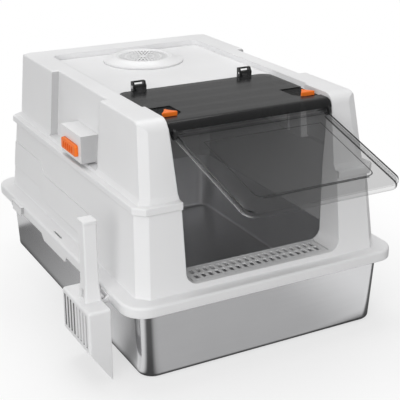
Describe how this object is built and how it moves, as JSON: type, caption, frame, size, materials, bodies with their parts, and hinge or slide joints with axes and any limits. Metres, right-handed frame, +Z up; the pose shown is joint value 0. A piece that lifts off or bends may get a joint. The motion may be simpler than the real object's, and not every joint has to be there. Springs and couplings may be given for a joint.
{
  "type": "covered litter box",
  "caption": "Covered litter box: steel pan, white enclosure and hood, smoked lid and entry flap on hinges, thumb latches, side buttons, vented filter and a hung scoop.",
  "frame": {"origin": "centre of the tray's underside, on the floor", "axes": "+Z up, the entry faces -Y, +X is to the right of someone facing the back wall"},
  "size_m": [0.51, 0.7257, 0.372],
  "materials": {
    "tray_steel": "polished",
    "white_plastic": "satin",
    "step_grey": "satin",
    "smoked_lid": "gloss",
    "smoked_flap": "gloss",
    "orange": "satin",
    "pin_steel": "bright",
    "carbon_pad": "matt"
  },
  "bodies": {
    "base": {"tray": "tray_steel", "enclosure": "white_plastic", "entry_step": "step_grey", "hood": "white_plastic", "filter_basket": "white_plastic", "carbon_filter": "carbon_pad", "lid_hinge_clip_left": "smoked_lid", "lid_hinge_clip_right": "smoked_lid", "lid_hinge_pin_left": "pin_steel", "lid_hinge_pin_right": "pin_steel", "button_plate_left": "white_plastic", "button_plate_right": "white_plastic", "button_spring_left": "pin_steel", "button_spring_right": "pin_steel", "scoop_hanger": "white_plastic"},
    "lid": {"lid": "smoked_lid"},
    "latch_left": {"lid_latch_left": "orange"},
    "latch_right": {"lid_latch_right": "orange"},
    "flap": {"flap": "smoked_flap"},
    "button_left": {"hood_button_left": "orange"},
    "button_right": {"hood_button_right": "orange"},
    "vent": {"vent_cover": "white_plastic"},
    "scoop": {"scoop": "white_plastic"},
    "clip_front_left": {"tray_clip_front_left": "white_plastic"},
    "clip_rear_left": {"tray_clip_rear_left": "white_plastic"},
    "clip_front_right": {"tray_clip_front_right": "white_plastic"},
    "clip_rear_right": {"tray_clip_rear_right": "white_plastic"}
  },
  "joints": [
    {"name": "lid_hinge", "type": "hinge", "parent": "base", "child": "lid", "pos_m": [0, -0.05, 0.364], "axis": [-1, 0, 0], "range_deg": [0, 100]},
    {"name": "flap_hinge", "type": "hinge", "parent": "lid", "child": "flap", "pos_m": [0, -0.2351, 0.342], "axis": [-1, 0, 0], "range_deg": [-75, 45]},
    {"name": "vent_twist", "type": "hinge", "parent": "base", "child": "vent", "pos_m": [0, 0.1345, 0.356], "axis": [0, 0, 1], "range_deg": [0, 30]},
    {"name": "scoop_lift", "type": "slide", "parent": "base", "child": "scoop", "axis": [0, 0, 1], "range_m": [0, 0.06]},
    {"name": "latch_left_slide", "type": "slide", "parent": "lid", "child": "latch_left", "axis": [-1, 0, 0], "range_m": [0, 0.003]},
    {"name": "button_left_push", "type": "slide", "parent": "base", "child": "button_left", "axis": [1, 0, 0], "range_m": [0, 0.004], "stiffness_N_per_m": 400, "deforming": ["button_spring_left"]},
    {"name": "clip_front_left_swing", "type": "hinge", "parent": "base", "child": "clip_front_left", "pos_m": [-0.2305, -0.168, 0.1167], "axis": [0, 1, 0], "range_deg": [0, 75]},
    {"name": "clip_rear_left_swing", "type": "hinge", "parent": "base", "child": "clip_rear_left", "pos_m": [-0.2305, 0.168, 0.1167], "axis": [0, 1, 0], "range_deg": [0, 75]},
    {"name": "latch_right_slide", "type": "slide", "parent": "lid", "child": "latch_right", "axis": [1, 0, 0], "range_m": [0, 0.003]},
    {"name": "button_right_push", "type": "slide", "parent": "base", "child": "button_right", "axis": [-1, 0, 0], "range_m": [0, 0.004], "stiffness_N_per_m": 400, "deforming": ["button_spring_right"]},
    {"name": "clip_front_right_swing", "type": "hinge", "parent": "base", "child": "clip_front_right", "pos_m": [0.2305, -0.168, 0.1167], "axis": [0, -1, 0], "range_deg": [0, 75]},
    {"name": "clip_rear_right_swing", "type": "hinge", "parent": "base", "child": "clip_rear_right", "pos_m": [0.2305, 0.168, 0.1167], "axis": [0, -1, 0], "range_deg": [0, 75]}
  ]
}
